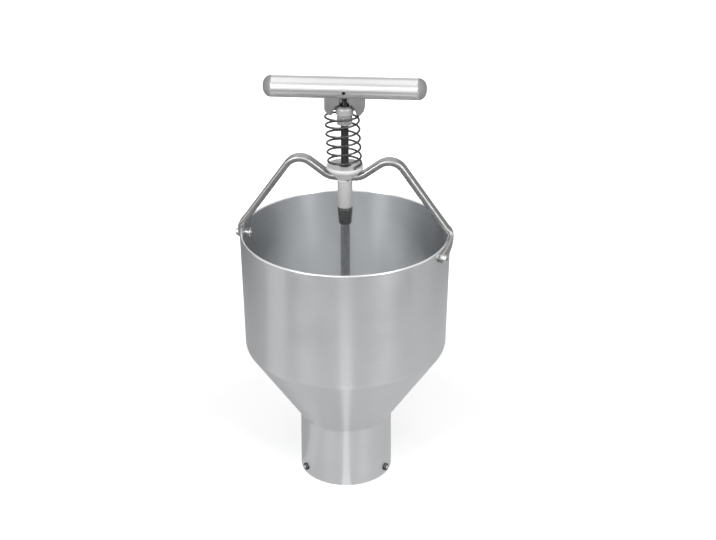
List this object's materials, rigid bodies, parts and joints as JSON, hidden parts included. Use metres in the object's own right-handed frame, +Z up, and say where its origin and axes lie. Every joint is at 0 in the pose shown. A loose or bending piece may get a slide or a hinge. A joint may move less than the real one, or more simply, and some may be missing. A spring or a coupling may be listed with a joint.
{
  "type": "batter dispenser",
  "caption": "Hand-held batter dispenser: open metal hopper with a cone and outlet tube, a bridge over the rim, and a sprung T-handle plunger that drops rings of batter.",
  "frame": {"origin": "middle of the outlet's lower edge, which is the lowest face", "axes": "+Z up along the plunger's axis, +X along the bridge, -Y towards the front"},
  "size_m": [0.2192, 0.21, 0.4324],
  "materials": {
    "spun_aluminium": "satin, fine spun lines round the axis",
    "machined_aluminium": "fine turned",
    "cast_aluminium": "polished cast",
    "steel": "satin",
    "sleeve_steel": "light turned",
    "nut_steel": "satin",
    "spring_steel": "dark drawn wire and thread",
    "black_steel": "black oxide",
    "polished_steel": "polished",
    "cap_plastic": "matte grey, fine grain",
    "collar_plastic": "glossy black",
    "piston_plastic": "off-white, turned",
    "seal_rubber": "black"
  },
  "bodies": {
    "hopper": {"hopper": "spun_aluminium", "die_ring": "machined_aluminium", "die_screws": "steel", "bridge": "cast_aluminium", "bridge_screws": "steel", "bridge_washers": "steel", "bridge_nuts": "steel", "guide_sleeve": "sleeve_steel", "sleeve_set_screw": "black_steel", "spring": "spring_steel"},
    "plunger": {"stud": "spring_steel", "plunger_rod": "polished_steel", "stop_collar": "collar_plastic", "piston": "piston_plastic", "piston_seal": "seal_rubber", "spacer_sleeve": "steel", "valve_disc": "machined_aluminium", "valve_washer": "steel", "valve_nut": "steel"},
    "handle": {"handle_bar": "polished_steel", "handle_caps": "cap_plastic", "handle_yoke": "cast_aluminium", "handle_set_screw": "black_steel"},
    "stop_nuts": {"stop_nut": "nut_steel", "lock_nut": "nut_steel"}
  },
  "joints": [
    {"name": "plunger_press", "type": "slide", "parent": "hopper", "child": "plunger", "axis": [0, 0, -1], "range_m": [0, 0.03], "stiffness_N_per_m": 800, "springref_m": -0.025, "deforming": ["spring"]},
    {"name": "handle_turn", "type": "hinge", "parent": "plunger", "child": "handle", "pos_m": [0, 0, 0.4219], "axis": [0, 0, 1], "continuous": true},
    {"name": "stop_nut_set", "type": "slide", "parent": "plunger", "child": "stop_nuts", "axis": [0, 0, -1], "range_m": [0, 0.01]}
  ]
}
